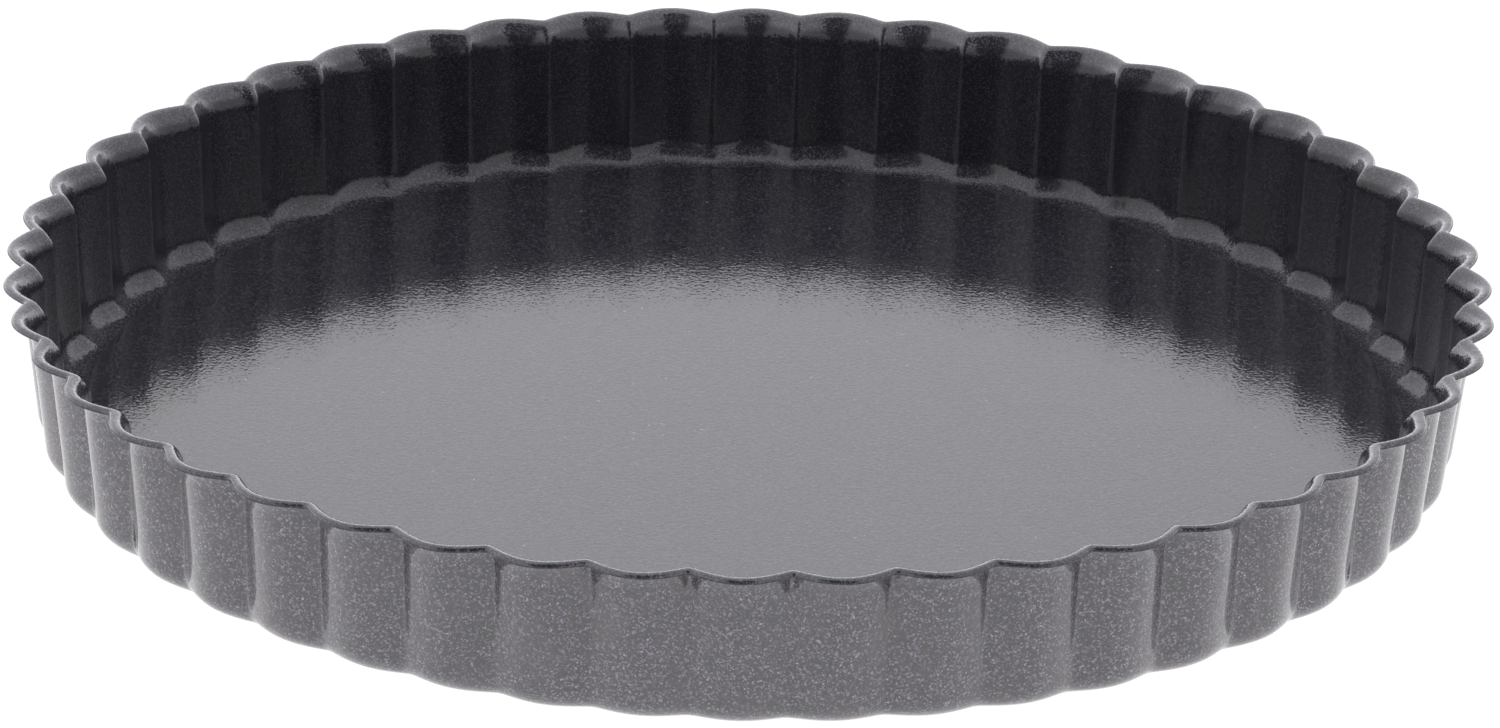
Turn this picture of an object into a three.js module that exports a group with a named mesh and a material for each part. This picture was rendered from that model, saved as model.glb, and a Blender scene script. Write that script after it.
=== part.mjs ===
// Fluted tart pan with a loose base: a pressed sheet ring and the flat disc that rests on its ledge.
// Millimetres, +Z up, origin at the centre of the ring's underside.
import * as THREE from 'three';
import { ParametricGeometry } from 'three/addons/geometries/ParametricGeometry.js';

// Driving dimensions
const RIM_RADIUS = 140;        // mean radius of the rim
const HEIGHT = 32;             // underside of the ledge to the top of the rim
const SHEET = 0.5;             // sheet thickness of the ring
const FLUTES = 48;             // flutes around the ring
const FLUTE_RIM = 3.6;         // flute size at the rim
const FLUTE_FOOT = 2.4;        // flute size where the wall meets the bottom corner
const FLUTE_LEDGE = 1.8;       // flute size where the corner meets the ledge
const FOLD_ROUND_RIM = 0.14;   // how rounded the inward folds are, as a share of the flute size
const FOLD_ROUND_WALL = 0.06;  // the same at the top of the wall
const FOLD_ROUND_FOOT = 0.2;   // the same at the foot of the wall
const FLUTE_MEAN = 0.66;       // mean of the flute curve, so that radii are mean radii
const LIP_REACH = 3.67;        // how far the rim stands out from the top of the wall
const LIP_RISE = 3.2;          // height over which the wall flares out to the rim
const LIP_SLANT = 30;          // flare from the vertical, degrees
const LIP_BEND = 1.6;          // bend radius under the rim
const LIP_FOOT_BEND = 8.5;     // bend radius where the flare starts
const CURL_DROP = 0.45;        // how far the outer edge of the rim turns down
const DRAFT = 5;               // lean of the wall, degrees
const CORNER = 5.5;            // outside radius of the bottom corner
const HOLE_RADIUS = 118;       // opening that the ledge leaves
const BASE_RADIUS = 127.2;     // loose base disc
const BASE_THICK = 1.0;
const BASE_CHAMFER = 0.15;
const BASE_GAP = 0.3;          // clearance between the ledge and the base
const STEPS_PER_FLUTE = 6;
const FOLD_CROWD = 0.3;        // how much the steps crowd towards the folds
const BASE_STEPS = 144;

const rad = (deg) => deg * Math.PI / 180;
const mix = (a, b, t) => a + (b - a) * t;

function coat(name) {
  return new THREE.MeshStandardMaterial({ name, color: 0x39383d, roughness: 0.38, metalness: 0.6 });
}

// Radial offset of the flutes at an angle: broad outward arcs that meet in narrow inward folds.
function flute(size, round, angle) {
  const wave = Math.cos(angle * FLUTES / 2);
  return size * (Math.sqrt(wave * wave + round * round) - FLUTE_MEAN);
}

// The lip seen in half section, from its cut edge in to the top of the wall: [radius, z, flute size, fold].
function lipPath() {
  const lipZ = HEIGHT - SHEET;
  const edge = RIM_RADIUS - SHEET;
  const wall = RIM_RADIUS - LIP_REACH;
  const slant = rad(LIP_SLANT);
  const lip = wall + LIP_RISE * Math.tan(slant);
  const topRun = LIP_BEND * Math.tan(rad(90 - LIP_SLANT) / 2);
  const footRun = LIP_FOOT_BEND * Math.tan(rad(LIP_SLANT - DRAFT) / 2);
  const wallZ = lipZ - LIP_RISE;
  const foldMiddle = mix(FOLD_ROUND_WALL, FOLD_ROUND_RIM, 0.5);
  return [
    [edge, lipZ - CURL_DROP, FLUTE_RIM, FOLD_ROUND_RIM],
    [edge, lipZ, FLUTE_RIM, FOLD_ROUND_RIM],
    [Math.min(lip + topRun, edge - 0.15), lipZ, FLUTE_RIM, FOLD_ROUND_RIM],
    [lip - topRun * Math.sin(slant), lipZ - topRun * Math.cos(slant), FLUTE_RIM, foldMiddle],
    [wall + footRun * Math.sin(slant), wallZ + footRun * Math.cos(slant), FLUTE_RIM, FOLD_ROUND_WALL],
    [wall - footRun * Math.sin(rad(DRAFT)), wallZ - footRun * Math.cos(rad(DRAFT)), FLUTE_RIM, FOLD_ROUND_WALL],
  ];
}

// The bottom corner and the ledge in half section, from the foot of the wall in to the hole.
function footPath() {
  const lean = rad(DRAFT);
  const wallZ = HEIGHT - SHEET - LIP_RISE;
  const footRadius = RIM_RADIUS - LIP_REACH - wallZ * Math.tan(lean);
  const cornerRadius = footRadius - CORNER * Math.tan(rad(90 - DRAFT) / 2);
  const path = [];
  for (let i = 0; i <= 3; i += 1) {
    const turn = mix(lean, Math.PI / 2, i / 3);
    path.push([
      cornerRadius + CORNER * Math.cos(turn),
      CORNER - CORNER * Math.sin(turn),
      mix(FLUTE_FOOT, FLUTE_LEDGE, i / 3),
      FOLD_ROUND_FOOT,
    ]);
  }
  path.push([HOLE_RADIUS, 0, 0, FOLD_ROUND_FOOT]);
  return path;
}

function outsidePoint([radius, z, size, round], angle) {
  const r = radius + flute(size, round, angle);
  return new THREE.Vector3(r * Math.cos(angle), r * Math.sin(angle), z);
}

// Angle of a step around the ring, crowded towards the folds between the flutes.
function stepAngle(step) {
  const u = (step % STEPS_PER_FLUTE) / STEPS_PER_FLUTE;
  const flutes = Math.floor(step / STEPS_PER_FLUTE);
  const crowded = u + FOLD_CROWD * Math.sin(2 * Math.PI * u) / (2 * Math.PI);
  return 2 * Math.PI * (flutes + crowded) / FLUTES;
}

// Step from the outside face to the inside face at one place on the path, mitred where the path turns.
function inward(path, i, angle) {
  const here = outsidePoint(path[i], angle);
  const down = new THREE.Vector3();
  const both = i > 0 && i < path.length - 1;
  if (i > 0) {
    down.add(here.clone().sub(outsidePoint(path[i - 1], angle)).normalize());
  }
  if (i < path.length - 1) {
    down.add(outsidePoint(path[i + 1], angle).sub(here).normalize());
  }
  const mitre = both ? 2 / down.length() : 1;
  const along = outsidePoint(path[i], angle + 1e-4).sub(outsidePoint(path[i], angle - 1e-4));
  return along.cross(down).normalize().multiplyScalar(SHEET * mitre);
}

// Closed sheet: out along the outside path, back along the same path one sheet thickness inside it.
function fluteRing() {
  const path = [...lipPath(), ...footPath()];
  const rows = 2 * path.length;
  const steps = FLUTES * STEPS_PER_FLUTE;
  const place = (u, v, target) => {
    const angle = stepAngle(Math.round(v * steps) % steps);
    const row = Math.round(u * rows) % rows;
    const outside = row < path.length;
    const i = outside ? row : rows - 1 - row;
    target.copy(outsidePoint(path[i], angle));
    if (!outside) {
      target.add(inward(path, i, angle));
    }
  };
  const mesh = new THREE.Mesh(new ParametricGeometry(place, rows, steps), coat('dark non-stick coat'));
  mesh.name = 'fluted_ring';
  return mesh;
}

function looseBase() {
  const low = SHEET + BASE_GAP;
  const high = low + BASE_THICK;
  const profile = [
    [0, low],
    [BASE_RADIUS - BASE_CHAMFER, low],
    [BASE_RADIUS, low + BASE_CHAMFER],
    [BASE_RADIUS, high - BASE_CHAMFER],
    [BASE_RADIUS - BASE_CHAMFER, high],
    [0, high],
  ].map(([r, z]) => new THREE.Vector2(r, z));
  const geometry = new THREE.LatheGeometry(profile, BASE_STEPS);
  geometry.rotateX(Math.PI / 2);
  const mesh = new THREE.Mesh(geometry, coat('dark non-stick coat, base'));
  mesh.name = 'loose_base';
  return mesh;
}

const pan = new THREE.Group();
pan.name = 'tart_pan';
pan.add(fluteRing());
pan.add(looseBase());

export default pan;
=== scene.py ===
"""Fluted tart pan with a loose base, in dark non-stick coat, on a pale studio floor."""
import math

import bmesh
import bpy
from mathutils import Matrix, Vector


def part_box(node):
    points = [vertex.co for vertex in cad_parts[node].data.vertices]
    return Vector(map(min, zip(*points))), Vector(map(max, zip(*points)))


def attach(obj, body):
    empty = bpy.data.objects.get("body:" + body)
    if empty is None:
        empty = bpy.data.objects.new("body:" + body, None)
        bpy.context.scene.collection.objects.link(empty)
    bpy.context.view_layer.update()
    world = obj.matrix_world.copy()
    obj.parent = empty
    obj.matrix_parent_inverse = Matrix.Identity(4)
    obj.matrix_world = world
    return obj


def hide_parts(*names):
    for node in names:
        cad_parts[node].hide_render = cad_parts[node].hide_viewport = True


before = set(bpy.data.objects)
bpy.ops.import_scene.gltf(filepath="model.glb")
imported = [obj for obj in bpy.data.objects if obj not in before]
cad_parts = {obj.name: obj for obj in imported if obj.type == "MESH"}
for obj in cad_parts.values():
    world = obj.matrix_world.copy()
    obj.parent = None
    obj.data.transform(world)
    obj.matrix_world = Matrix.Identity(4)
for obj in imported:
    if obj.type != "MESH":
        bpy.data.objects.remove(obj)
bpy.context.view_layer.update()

MM = 0.001
RING_LOW, RING_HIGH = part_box("fluted_ring")
BASE_LOW, BASE_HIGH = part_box("loose_base")

# Ring: one pressed sheet. Sizes in metres unless a name says otherwise.
PAN_HEIGHT = RING_HIGH.z - RING_LOW.z
SHEET = 0.5 * MM
FLUTES = 48
FLUTE_RIM = 3.6 * MM
FLUTE_FOOT = 2.4 * MM
FLUTE_LEDGE = 1.8 * MM
FOLD_ROUND_RIM = 0.14
FOLD_ROUND_WALL = 0.06
FOLD_ROUND_FOOT = 0.2
FOLD_CREASE = 0.11
FOLD_CREASE_WIDTH = 0.2
FLUTE_MEAN = 0.66
CREST = math.sqrt(1 + FOLD_ROUND_RIM ** 2) - FLUTE_MEAN
RIM_RADIUS = RING_HIGH.x - FLUTE_RIM * CREST
LIP_REACH = 3.67 * MM
LIP_RISE = 3.2 * MM
LIP_SLANT = math.radians(30)
LIP_BEND = 1.6 * MM
LIP_FOOT_BEND = 8.5 * MM
CURL_DROP = 0.45 * MM
CURL_BEND = 0.3 * MM
DRAFT = math.radians(5)
CORNER = 5.5 * MM
HOLE_RADIUS = 118 * MM
FLUTE_FADE = 12 * MM
EDGE_SOFTEN = 0.12 * MM
MERGE_GAP = 1e-6
STEPS_PER_FLUTE = 28
BEND_STEPS = 6
FOLD_CROWD = 0.84
SHARP_EDGE = math.radians(60)
CREASE_EDGE = math.radians(35)

# Loose base
BASE_RADIUS = BASE_HIGH.x
BASE_EDGE_ROUND = 0.28 * MM
BASE_EDGE_STEPS = 4
BASE_LOWER_CHAMFER = 0.1 * MM
BASE_TOP_RINGS = (0.985, 0.9, 0.66, 0.33)
BASE_STEPS = 288

# Coats: how big their details are
FLAKE = 0.3 * MM
GRAIN = 0.26 * MM
ORANGE_PEEL = 0.95 * MM
MOTTLE = 9 * MM
PUCKER = 1.7 * MM
RING_CLOUD = 14 * MM
BASE_CLOUD = 18 * MM
CUT_EDGE_GRAIN = 0.3 * MM

# Coats: how deep their relief is
FLECKED_PEEL_DEPTH = 0.004 * MM
RING_PEEL_DEPTH = 0.014 * MM
BASE_PEEL_DEPTH = 0.034 * MM
PUCKER_DEPTH = 0.06 * MM
CUT_EDGE_DEPTH = 0.02 * MM

# Coats: colours
FLECKED_DARK, FLECKED_BRIGHT = (0.003, 0.002, 0.0045), (0.19, 0.163, 0.225)
GLINT = (0.3, 0.28, 0.31)
BLUSH = (0.062, 0.040, 0.054)
RING_DARK, RING_SPARKLE = (0.0075, 0.0075, 0.0095), (0.95, 0.95, 1.2)
BASE_DARK, BASE_BRIGHT = (0.008, 0.008, 0.01), (0.043, 0.043, 0.052)
BASE_SPECK = (0.15, 0.15, 0.16)
CUT_EDGE_DARK, CUT_EDGE_LIGHT = (0.006, 0.006, 0.007), (0.03, 0.03, 0.032)

# ---------------------------------------------------------------- node helpers
class Tree:
    """Adds nodes to a node tree and joins them, so that a formula reads in the order it is worked out."""

    def __init__(self, tree):
        self.tree = tree

    def node(self, kind, **settings):
        made = self.tree.nodes.new(kind)
        for name, value in settings.items():
            setattr(made, name, value)
        return made

    def put(self, socket, value):
        if isinstance(value, bpy.types.NodeSocket):
            self.tree.links.new(value, socket)
        elif value is not None:
            socket.default_value = value

    def math(self, operation, first, second=None, third=None):
        made = self.node("ShaderNodeMath", operation=operation)
        for socket, value in zip(made.inputs, (first, second, third)):
            self.put(socket, value)
        return made.outputs[0]

    def vector(self, x, y, z):
        made = self.node("ShaderNodeCombineXYZ")
        for socket, value in zip(made.inputs, (x, y, z)):
            self.put(socket, value)
        return made.outputs[0]

    def parts(self, vector):
        made = self.node("ShaderNodeSeparateXYZ")
        self.put(made.inputs[0], vector)
        return made.outputs

    def map_range(self, value, low, high, to_low, to_high):
        made = self.node("ShaderNodeMapRange")
        for socket, given in zip(made.inputs, (value, low, high, to_low, to_high)):
            self.put(socket, given)
        return made.outputs[0]


# ---------------------------------------------------------------- ring
RING_SIZES = {
    "Rim radius": RIM_RADIUS,
    "Height": PAN_HEIGHT,
    "Sheet": SHEET,
    "Flute at rim": FLUTE_RIM,
    "Flute at foot": FLUTE_FOOT,
    "Flute at ledge": FLUTE_LEDGE,
    "Fold round at rim": FOLD_ROUND_RIM,
    "Fold round on wall": FOLD_ROUND_WALL,
    "Fold round at foot": FOLD_ROUND_FOOT,
    "Fold crease": FOLD_CREASE,
    "Fold crease width": FOLD_CREASE_WIDTH,
    "Lip reach": LIP_REACH,
    "Lip rise": LIP_RISE,
    "Lip slant": LIP_SLANT,
    "Lip bend": LIP_BEND,
    "Lip foot bend": LIP_FOOT_BEND,
    "Curl drop": CURL_DROP,
    "Curl bend": CURL_BEND,
    "Draft": DRAFT,
    "Corner": CORNER,
    "Hole radius": HOLE_RADIUS,
    "Fold crowd": FOLD_CROWD,
}
RING_COUNTS = {"Flutes": FLUTES, "Steps per flute": STEPS_PER_FLUTE, "Bend steps": BEND_STEPS}


def index_switch(t, kind, values):
    switch = t.node("GeometryNodeIndexSwitch", data_type=kind)
    while len(switch.index_switch_items) < len(values):
        switch.index_switch_items.new()
    t.put(switch.inputs["Index"], t.node("GeometryNodeInputIndex").outputs[0])
    for i, value in enumerate(values):
        t.put(switch.inputs[i + 1], value)
    return switch.outputs[0]


def sheet_profile(t, size):
    """Half section of the outside face as a curve: curled rim edge, lip, wall, bottom corner, hole edge."""
    lip_z = t.math("SUBTRACT", size["Height"], size["Sheet"])
    lean = t.math("TANGENT", size["Draft"])
    wall_z = t.math("SUBTRACT", lip_z, size["Lip rise"])
    wall_radius = t.math("SUBTRACT", size["Rim radius"], size["Lip reach"])
    lip_radius = t.math("MULTIPLY_ADD", size["Lip rise"], t.math("TANGENT", size["Lip slant"]), wall_radius)
    foot_radius = t.math("SUBTRACT", wall_radius, t.math("MULTIPLY", wall_z, lean))
    edge_radius = t.math("SUBTRACT", size["Rim radius"], size["Sheet"])
    points = [
        t.vector(edge_radius, 0.0, t.math("SUBTRACT", lip_z, size["Curl drop"])),
        t.vector(edge_radius, 0.0, lip_z),
        t.vector(lip_radius, 0.0, lip_z),
        t.vector(wall_radius, 0.0, wall_z),
        t.vector(foot_radius, 0.0, 0.0),
        t.vector(size["Hole radius"], 0.0, 0.0),
    ]
    line = t.node("GeometryNodeMeshLine")
    line.inputs["Count"].default_value = len(points)
    curve = t.node("GeometryNodeMeshToCurve")
    t.put(curve.inputs["Mesh"], line.outputs[0])
    place = t.node("GeometryNodeSetPosition")
    t.put(place.inputs["Geometry"], curve.outputs[0])
    t.put(place.inputs["Position"], index_switch(t, "VECTOR", points))
    fillet = t.node("GeometryNodeFilletCurve", mode="POLY")
    t.put(fillet.inputs["Curve"], place.outputs[0])
    t.put(fillet.inputs["Count"], size["Bend steps"])
    t.put(fillet.inputs["Radius"], index_switch(
        t, "FLOAT", [0.0, size["Curl bend"], size["Lip bend"], size["Lip foot bend"], size["Corner"], 0.0]))
    return fillet.outputs[0]


def flute_size_at(t, size, z):
    """Flutes are deepest at the rim, shallower at the foot and die out round the bottom corner."""
    wall = t.map_range(z, size["Corner"], t.math("SUBTRACT", size["Height"], size["Lip rise"]),
                       size["Flute at foot"], size["Flute at rim"])
    share = t.map_range(z, 0.0, size["Corner"], 0.0, 1.0)
    return t.math("MULTIPLY_ADD", share, t.math("SUBTRACT", wall, size["Flute at ledge"]),
                  size["Flute at ledge"])


def ring_tree(outside, inside, edge):
    tree = bpy.data.node_groups.new("fluted sheet ring", "GeometryNodeTree")
    t = Tree(tree)
    for name in RING_SIZES:
        tree.interface.new_socket(name, in_out="INPUT", socket_type="NodeSocketFloat")
    for name in RING_COUNTS:
        tree.interface.new_socket(name, in_out="INPUT", socket_type="NodeSocketInt")
    tree.interface.new_socket("Ring", in_out="OUTPUT", socket_type="NodeSocketGeometry")
    size = t.node("NodeGroupInput").outputs

    profile = sheet_profile(t, size)
    count = t.node("GeometryNodeAttributeDomainSize", component="CURVE")
    t.put(count.inputs[0], profile)
    around = t.math("MULTIPLY", size["Flutes"], size["Steps per flute"])
    columns = t.math("ADD", around, 1.0)
    grid = t.node("GeometryNodeMeshGrid")
    t.put(grid.inputs["Vertices X"], count.outputs["Point Count"])
    t.put(grid.inputs["Vertices Y"], columns)

    index = t.node("GeometryNodeInputIndex").outputs[0]
    row = t.math("FLOOR", t.math("DIVIDE", t.math("ADD", index, 0.5), columns))
    step = t.math("SUBTRACT", index, t.math("MULTIPLY", row, columns))
    whole = t.math("FLOOR", t.math("DIVIDE", t.math("ADD", step, 0.5), size["Steps per flute"]))
    share = t.math("SUBTRACT", t.math("DIVIDE", step, size["Steps per flute"]), whole)
    crowd = t.math("MULTIPLY", t.math("DIVIDE", size["Fold crowd"], math.tau),
                   t.math("SINE", t.math("MULTIPLY", share, math.tau)))
    turn = t.math("DIVIDE", t.math("ADD", whole, t.math("ADD", share, crowd)), size["Flutes"])
    angle = t.math("MULTIPLY", turn, math.tau)

    sample = t.node("GeometryNodeSampleIndex", data_type="FLOAT_VECTOR", domain="POINT")
    t.put(sample.inputs["Geometry"], profile)
    t.put(sample.inputs["Value"], t.node("GeometryNodeInputPosition").outputs[0])
    t.put(sample.inputs["Index"], row)
    radius, _, z = t.parts(sample.outputs[0])
    wave = t.math("COSINE", t.math("MULTIPLY", angle, t.math("MULTIPLY", size["Flutes"], 0.5)))
    wall_top = t.math("SUBTRACT", size["Height"], size["Lip rise"])
    fold = t.math("MAXIMUM", t.map_range(z, size["Corner"], wall_top, size["Fold round at foot"],
                                         size["Fold round on wall"]),
                  t.map_range(z, wall_top, size["Height"], size["Fold round on wall"],
                              size["Fold round at rim"]))
    soft = t.math("SQRT", t.math("ADD", t.math("MULTIPLY", wave, wave), t.math("MULTIPLY", fold, fold)))
    # High on the wall each fold is drawn in a little deeper, between two faint shoulders.
    share_across = t.math("DIVIDE", wave, size["Fold crease width"])
    squared = t.math("MULTIPLY", share_across, share_across)
    hollow = t.math("EXPONENT", t.math("MULTIPLY", squared, -1.0))
    crease = t.math("MULTIPLY", t.map_range(z, size["Corner"], wall_top, 0.0, size["Fold crease"]),
                    t.map_range(z, wall_top, size["Height"], 1.0, 0.0))
    drawn = t.math("SUBTRACT", soft, t.math("MULTIPLY", hollow, crease))
    flute = t.math("SUBTRACT", drawn, FLUTE_MEAN)
    full = t.math("SUBTRACT", size["Rim radius"], FLUTE_FADE)
    flat = t.map_range(radius, size["Hole radius"], full, 0.0, 1.0)
    depth = t.math("MULTIPLY", flute_size_at(t, size, z), flat)
    reach = t.math("MULTIPLY_ADD", flute, depth, radius)
    spot = t.vector(t.math("MULTIPLY", reach, t.math("COSINE", angle)),
                    t.math("MULTIPLY", reach, t.math("SINE", angle)), z)
    skin = t.node("GeometryNodeSetPosition")
    t.put(skin.inputs["Geometry"], grid.outputs["Mesh"])
    t.put(skin.inputs["Position"], spot)
    seam = t.node("GeometryNodeMergeByDistance")
    t.put(seam.inputs["Geometry"], skin.outputs[0])
    seam.inputs["Distance"].default_value = MERGE_GAP

    # The sheet's thickness goes inwards from the outside face.
    extrude = t.node("GeometryNodeExtrudeMesh", mode="FACES")
    t.put(extrude.inputs["Mesh"], seam.outputs[0])
    extrude.inputs["Individual"].default_value = False
    t.put(extrude.inputs["Offset Scale"], t.math("MULTIPLY", size["Sheet"], -1.0))
    turned = t.node("GeometryNodeFlipFaces")
    t.put(turned.inputs["Mesh"], extrude.outputs["Mesh"])
    join = t.node("GeometryNodeJoinGeometry")
    t.put(join.inputs[0], turned.outputs[0])
    t.put(join.inputs[0], seam.outputs[0])
    closed = t.node("GeometryNodeMergeByDistance")
    t.put(closed.inputs["Geometry"], join.outputs[0])
    closed.inputs["Distance"].default_value = MERGE_GAP

    real = t.node("GeometryNodeRealizeInstances")
    t.put(real.inputs[0], closed.outputs[0])
    last = real.outputs[0]
    faces = ((outside, True), (inside, extrude.outputs["Top"]), (edge, extrude.outputs["Side"]))
    for material, chosen in faces:
        finish = t.node("GeometryNodeSetMaterial")
        t.put(finish.inputs["Geometry"], last)
        t.put(finish.inputs["Selection"], chosen)
        finish.inputs["Material"].default_value = material
        last = finish.outputs[0]
    t.put(t.node("NodeGroupOutput").inputs[0], last)
    return tree


def plain_copy(source, name):
    """The evaluated object as a plain mesh with no modifiers."""
    evaluated = source.evaluated_get(bpy.context.evaluated_depsgraph_get())
    mesh = bpy.data.meshes.new_from_object(evaluated)
    bpy.data.objects.remove(source)
    mesh.name = name
    made = bpy.data.objects.new(name, mesh)
    bpy.context.scene.collection.objects.link(made)
    return made


def fluted_ring(outside, inside, edge):
    tree = ring_tree(outside, inside, edge)
    source = bpy.data.objects.new("ring source", bpy.data.meshes.new("ring source"))
    bpy.context.scene.collection.objects.link(source)
    rule = source.modifiers.new("fluted sheet", "NODES")
    rule.node_group = tree
    sizes = {**RING_SIZES, **RING_COUNTS}
    for item in tree.interface.items_tree:
        if item.in_out == "INPUT":
            rule[item.identifier] = sizes[item.name]
    soften = source.modifiers.new("cut edge", "BEVEL")
    soften.limit_method = "ANGLE"
    soften.angle_limit = SHARP_EDGE
    soften.width = EDGE_SOFTEN
    soften.segments = 2
    ring = plain_copy(source, "fluted_ring_sheet")
    smooth_to(ring, CREASE_EDGE)
    return ring


def smooth_to(piece, limit):
    """Smooth shading, with a crease where faces meet at more than the limit."""
    mesh = bmesh.new()
    mesh.from_mesh(piece.data)
    for face in mesh.faces:
        face.smooth = True
    for line in mesh.edges:
        line.smooth = len(line.link_faces) == 2 and line.calc_face_angle(0) < limit
    mesh.to_mesh(piece.data)
    mesh.free()


# ---------------------------------------------------------------- base
def base_disc(top, underside):
    """Flat disc with a rounded upper edge, turned from a short outline."""
    low, high = BASE_LOW.z, BASE_HIGH.z
    outline = [(0.0, low), (BASE_RADIUS - BASE_LOWER_CHAMFER, low), (BASE_RADIUS, low + BASE_LOWER_CHAMFER)]
    for i in range(BASE_EDGE_STEPS + 1):
        turn = math.radians(90 / BASE_EDGE_STEPS * i)
        outline.append((BASE_RADIUS - BASE_EDGE_ROUND * (1 - math.cos(turn)),
                        high - BASE_EDGE_ROUND * (1 - math.sin(turn))))
    outline += [(BASE_RADIUS * share, high) for share in BASE_TOP_RINGS] + [(0.0, high)]
    around = [math.tau * i / BASE_STEPS for i in range(BASE_STEPS)]
    mesh = bmesh.new()
    rings = []
    for radius, z in outline:
        if radius == 0:
            rings.append([mesh.verts.new((0, 0, z))] * BASE_STEPS)
            continue
        rings.append([mesh.verts.new((radius * math.cos(a), radius * math.sin(a), z)) for a in around])
    for inner, outer in zip(rings, rings[1:]):
        for i in range(BASE_STEPS):
            k = (i + 1) % BASE_STEPS
            corners = [inner[i], outer[i], outer[k], inner[k]]
            mesh.faces.new(list(dict.fromkeys(corners)))
    bmesh.ops.recalc_face_normals(mesh, faces=mesh.faces)
    data = bpy.data.meshes.new("loose_base_disc")
    mesh.to_mesh(data)
    mesh.free()
    data.materials.append(top)
    data.materials.append(underside)
    for face in data.polygons:
        face.material_index = 1 if face.normal.z < -0.5 else 0
    disc = bpy.data.objects.new("loose_base_disc", data)
    bpy.context.scene.collection.objects.link(disc)
    smooth_to(disc, CREASE_EDGE)
    return disc


# ---------------------------------------------------------------- materials
class Coat(Tree):
    """A new material's node tree, with the textures that the coats share."""

    def __init__(self, name):
        self.material = bpy.data.materials.new(name)
        self.material.use_nodes = True
        super().__init__(self.material.node_tree)
        self.shader = self.tree.nodes["Principled BSDF"]
        self.place = self.node("ShaderNodeTexCoord").outputs["Object"]

    def set(self, **values):
        for name, value in values.items():
            self.put(self.shader.inputs[name.replace("_", " ")], value)

    def noise(self, size, detail=2.0, place=None):
        """Noise of 0 to 1 whose lumps are about `size` metres across."""
        made = self.node("ShaderNodeTexNoise")
        self.put(made.inputs["Vector"], place or self.place)
        made.inputs["Scale"].default_value = 1 / size
        made.inputs["Detail"].default_value = detail
        return made.outputs["Fac"]

    def cells(self, size):
        """One random colour for each cell about `size` metres across."""
        made = self.node("ShaderNodeTexVoronoi")
        self.put(made.inputs["Vector"], self.place)
        made.inputs["Scale"].default_value = 1 / size
        return made.outputs["Color"]

    def mix(self, share, first, second):
        made = self.node("ShaderNodeMix", data_type="RGBA")
        self.put(made.inputs["Factor"], share)
        self.put(made.inputs[6], first if isinstance(first, bpy.types.NodeSocket) else (*first, 1))
        self.put(made.inputs[7], second if isinstance(second, bpy.types.NodeSocket) else (*second, 1))
        return made.outputs[2]

    def step(self, value, low, high, to_low=0.0, to_high=1.0):
        made = self.node("ShaderNodeMapRange", interpolation_type="SMOOTHSTEP")
        for socket, given in zip(made.inputs, (value, low, high, to_low, to_high)):
            self.put(socket, given)
        return made.outputs[0]

    def bump(self, height, depth, normal=None):
        """Surface relief: `height` of 0 to 1 stands for 0 to `depth` metres."""
        made = self.node("ShaderNodeBump")
        made.inputs["Distance"].default_value = depth
        self.put(made.inputs["Height"], height)
        if normal is not None:
            self.put(made.inputs["Normal"], normal)
        return made.outputs[0]

    def tilt(self, random_colour, amount, normal):
        """Tilts each cell's normal its own way, as metal flakes lie in a coat."""
        centred = self.node("ShaderNodeVectorMath", operation="SUBTRACT")
        self.put(centred.inputs[0], random_colour)
        centred.inputs[1].default_value = (0.5, 0.5, 0.5)
        scaled = self.node("ShaderNodeVectorMath", operation="SCALE")
        self.put(scaled.inputs[0], centred.outputs[0])
        scaled.inputs["Scale"].default_value = amount
        total = self.node("ShaderNodeVectorMath", operation="ADD")
        self.put(total.inputs[0], scaled.outputs[0])
        self.put(total.inputs[1], normal)
        unit = self.node("ShaderNodeVectorMath", operation="NORMALIZE")
        self.put(unit.inputs[0], total.outputs[0])
        return unit.outputs[0]


def flecked_coat():
    """Outside: grey coat full of fine metal flakes, faintly mottled pink, under a clear gloss."""
    c = Coat("flecked grey coat")
    flake = c.cells(FLAKE)
    bright, sparse, turn = c.parts(flake)
    grain = c.noise(2.5 * FLAKE, 2.0)
    shade = c.math("MULTIPLY_ADD", c.math("POWER", bright, 5.0), 1.1, c.math("MULTIPLY", grain, 0.12))
    colour = c.mix(shade, FLECKED_DARK, FLECKED_BRIGHT)
    colour = c.mix(c.step(sparse, 0.984, 0.996), colour, GLINT)
    blush = c.step(c.noise(MOTTLE, 3.0), 0.5, 0.68)
    colour = c.mix(c.math("MULTIPLY", blush, 0.35), colour, BLUSH)
    relief = c.bump(c.noise(ORANGE_PEEL, 2.0), FLECKED_PEEL_DEPTH)
    c.set(Base_Color=colour, Metallic=0.4,
          Roughness=c.math("MULTIPLY_ADD", turn, 0.2, 0.38),
          Normal=c.tilt(flake, 0.22, relief),
          Coat_Weight=1.0, Coat_Roughness=0.05, Coat_IOR=1.85, Coat_Normal=relief)
    return c.material


def puckers(c):
    """Small gathers of the sheet in the bottom corner and the lip, and where those two are."""
    x, y, z = c.parts(c.place)
    reach = c.math("SQRT", c.math("ADD", c.math("MULTIPLY", x, x), c.math("MULTIPLY", y, y)))
    around = c.vector(c.math("MULTIPLY", c.math("DIVIDE", x, reach), RIM_RADIUS),
                      c.math("MULTIPLY", c.math("DIVIDE", y, reach), RIM_RADIUS),
                      c.math("MULTIPLY", z, 0.35))
    low = c.step(z, CORNER * 0.4, CORNER * 0.8, 1.0, 0.0)
    high = c.step(z, PAN_HEIGHT - LIP_RISE, PAN_HEIGHT - 0.6 * LIP_RISE)
    return c.math("MULTIPLY", c.noise(PUCKER, 1.0, around), c.math("ADD", low, high)), low, high


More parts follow.
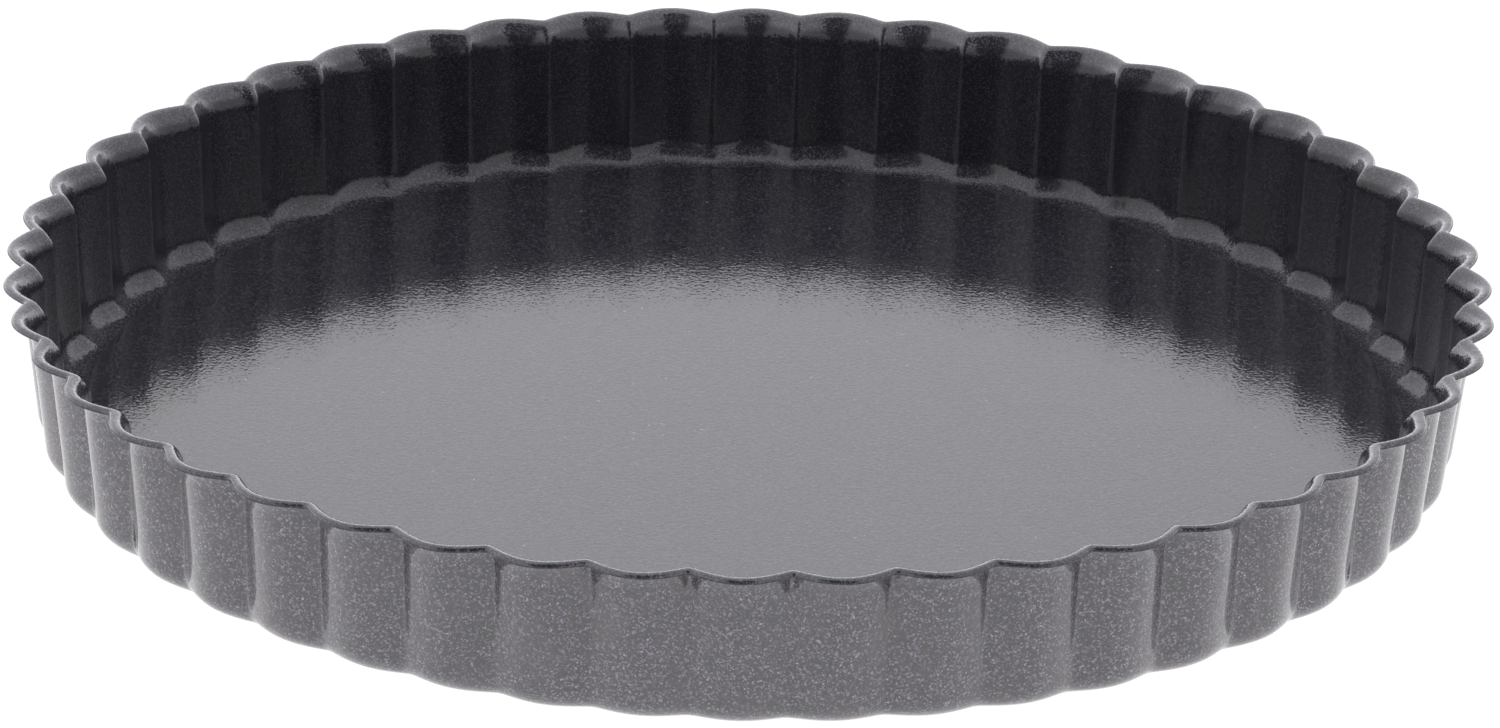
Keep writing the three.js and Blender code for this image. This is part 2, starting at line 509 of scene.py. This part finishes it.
def ring_coat():
    """Inside of the ring: near-black non-stick coat with a fine grain that sparkles in the light, painted
    lighter in the bottom corner and up by the lip as a painted highlight.
    """
    c = Coat("dark ring coat")
    grain = c.cells(GRAIN)
    value, _, turn = c.parts(grain)
    cloud = c.noise(RING_CLOUD, 3.0)
    gathered, corner, lip = puckers(c)
    sparkle = c.math("POWER", value, 3.0)
    # Painted highlight: the grain's colour is made lighter in the bottom corner and up by the lip, standing
    # in for light caught on those bends.
    grain_and_painted_highlight = c.math("MULTIPLY_ADD", c.math("MAXIMUM", corner, lip), 0.045, 0.022)
    colour = c.mix(c.math("MULTIPLY_ADD", sparkle, grain_and_painted_highlight, c.math("MULTIPLY", cloud, 0.007)),
                   RING_DARK, RING_SPARKLE)
    peel = c.bump(c.noise(ORANGE_PEEL, 2.0), RING_PEEL_DEPTH)
    relief = c.bump(gathered, PUCKER_DEPTH, peel)
    roughness = c.math("MULTIPLY_ADD", turn, 0.08, c.math("MULTIPLY_ADD", cloud, 0.06, 0.1))
    shine = c.math("MULTIPLY_ADD", lip, 0.22, c.math("MULTIPLY_ADD", corner, 0.02, 0.27))
    c.set(Base_Color=colour, Roughness=roughness, Normal=c.tilt(grain, 0.09, relief), IOR=1.55,
          Specular_IOR_Level=shine)
    return c.material


def disc_coat():
    """Top of the loose base: glossy near-black non-stick coat with orange-peel relief and a few specks."""
    c = Coat("dark base coat")
    grain = c.cells(1.35 * GRAIN)
    value, speck, turn = c.parts(grain)
    cloud = c.noise(BASE_CLOUD, 3.0)
    shade = c.math("MULTIPLY_ADD", c.math("POWER", value, 3.0), 0.85, c.math("MULTIPLY", cloud, 0.15))
    colour = c.mix(shade, BASE_DARK, BASE_BRIGHT)
    colour = c.mix(c.step(speck, 0.9994, 0.9998), colour, BASE_SPECK)
    relief = c.bump(c.noise(ORANGE_PEEL, 1.0), BASE_PEEL_DEPTH)
    roughness = c.math("MULTIPLY_ADD", turn, 0.03, c.math("MULTIPLY_ADD", cloud, 0.03, 0.075))
    c.set(Base_Color=colour, Roughness=roughness, Normal=c.tilt(grain, 0.03, relief), IOR=1.55)
    return c.material


def edge_coat():
    """Cut edge of the sheet: thin dark coat, slightly uneven."""
    c = Coat("cut edge coat")
    colour = c.mix(c.noise(2 * CUT_EDGE_GRAIN, 3.0), CUT_EDGE_DARK, CUT_EDGE_LIGHT)
    c.set(Base_Color=colour, Roughness=c.math("MULTIPLY_ADD", c.noise(0.4 * MM), 0.3, 0.4),
          Specular_IOR_Level=0.25, Normal=c.bump(c.noise(CUT_EDGE_GRAIN), CUT_EDGE_DEPTH))
    return c.material


# ---------------------------------------------------------------- studio
DOME_BRIGHT = 2.15
DOME_DIM = 0.25
OPENING_RISE = math.radians(34)
OPENING_SPREAD = math.radians(42)
OPENING_SOFT = math.radians(2)
OPENING_NARROW = 1.6
BACKDROP_TOP = 0.2
BACKDROP_GLOW = 0.9
BACKDROP_FADE = 0.08
DOME_LEFT = 1.03
DOME_RIGHT = 0.83
DOME_TINT = (0.97, 0.96, 1.0, 1)
FLOOR_GLOW = 1.0
FLOOR_REACH = 12.0
FLOOR_BELOW = 0.3 * MM


def sky():
    """Soft white tent all round the pan, a little dimmer on its right, with a dim round opening in front."""
    world = bpy.data.worlds.new("studio dome")
    world.use_nodes = True
    t = Tree(world.node_tree)
    narrow = t.node("ShaderNodeVectorMath", operation="MULTIPLY")
    t.put(narrow.inputs[0], t.node("ShaderNodeTexCoord").outputs["Generated"])
    narrow.inputs[1].default_value = (OPENING_NARROW, 1, 1)
    unit = t.node("ShaderNodeVectorMath", operation="NORMALIZE")
    t.put(unit.inputs[0], narrow.outputs[0])
    toward = t.node("ShaderNodeVectorMath", operation="DOT_PRODUCT")
    t.put(toward.inputs[0], unit.outputs[0])
    toward.inputs[1].default_value = (0, -math.cos(OPENING_RISE), math.sin(OPENING_RISE))
    share = t.map_range(toward.outputs["Value"], math.cos(OPENING_SPREAD - OPENING_SOFT),
                        math.cos(OPENING_SPREAD + OPENING_SOFT), 0.0, 1.0)
    side, behind, height = t.parts(unit.outputs[0])
    glow = t.math("MULTIPLY",
                  t.map_range(height, BACKDROP_TOP, BACKDROP_TOP - BACKDROP_FADE, 0.0, BACKDROP_GLOW),
                  t.map_range(behind, 0.0, 0.4, 0.0, 1.0))
    dome = t.math("MULTIPLY_ADD", share, DOME_BRIGHT - DOME_DIM, DOME_DIM)
    evened = t.math("MULTIPLY", dome, t.map_range(side, -1.0, 1.0, DOME_LEFT, DOME_RIGHT))
    t.put(world.node_tree.nodes["Background"].inputs["Strength"], t.math("ADD", evened, glow))
    world.node_tree.nodes["Background"].inputs["Color"].default_value = DOME_TINT
    bpy.context.scene.world = world


def floor_paper():
    """White glowing table, seen through from underneath so that the underside of the pan shows."""
    material = bpy.data.materials.new("pale floor")
    material.use_nodes = True
    t = Tree(material.node_tree)
    shader = material.node_tree.nodes["Principled BSDF"]
    shader.inputs["Base Color"].default_value = (0.05, 0.05, 0.05, 1)
    shader.inputs["Roughness"].default_value = 0.9
    shader.inputs["Emission Color"].default_value = (1, 1, 1, 1)
    shader.inputs["Emission Strength"].default_value = FLOOR_GLOW
    mixed = t.node("ShaderNodeMixShader")
    t.put(mixed.inputs["Fac"], t.node("ShaderNodeNewGeometry").outputs["Backfacing"])
    t.put(mixed.inputs[1], shader.outputs[0])
    t.put(mixed.inputs[2], t.node("ShaderNodeBsdfTransparent").outputs[0])
    t.put(material.node_tree.nodes["Material Output"].inputs["Surface"], mixed.outputs[0])
    return material


def studio():
    sky()
    floor_mesh = bpy.data.meshes.new("studio_floor")
    corners = [(-FLOOR_REACH, -FLOOR_REACH), (FLOOR_REACH, -FLOOR_REACH),
               (FLOOR_REACH, FLOOR_REACH), (-FLOOR_REACH, FLOOR_REACH)]
    floor_mesh.from_pydata([(x, y, -FLOOR_BELOW) for x, y in corners], [], [(0, 1, 2, 3)])
    floor = bpy.data.objects.new("studio_floor", floor_mesh)
    bpy.context.scene.collection.objects.link(floor)
    floor_mesh.materials.append(floor_paper())


# ---------------------------------------------------------------- camera
CAMERA_RISE = math.radians(23.313)
CAMERA_ROLL = math.radians(1.543)
CAMERA_REACH = 1.30265
CAMERA_LENS = 164.36
RIM_RIGHT_OF_AXIS = -0.06 * MM
RIM_ABOVE_AXIS = 18.78 * MM


def camera():
    data = bpy.data.cameras.new("camera")
    data.lens = CAMERA_LENS
    data.sensor_width = 36
    data.clip_start = 0.05
    made = bpy.data.objects.new("camera", data)
    turn = Matrix.Rotation(math.pi / 2 - CAMERA_RISE, 3, "X") @ Matrix.Rotation(CAMERA_ROLL, 3, "Z")
    rim_centre = Vector((0, 0, RING_HIGH.z))
    made.location = rim_centre - turn @ Vector((RIM_RIGHT_OF_AXIS, RIM_ABOVE_AXIS, -CAMERA_REACH))
    made.rotation_euler = turn.to_euler()
    bpy.context.scene.collection.objects.link(made)
    bpy.context.scene.camera = made


outside = flecked_coat()
ring = fluted_ring(outside, ring_coat(), edge_coat())
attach(ring, "ring")
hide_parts("fluted_ring")

base = base_disc(disc_coat(), outside)
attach(base, "base")
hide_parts("loose_base")

studio()
camera()
bpy.context.scene.view_settings.view_transform = "Standard"
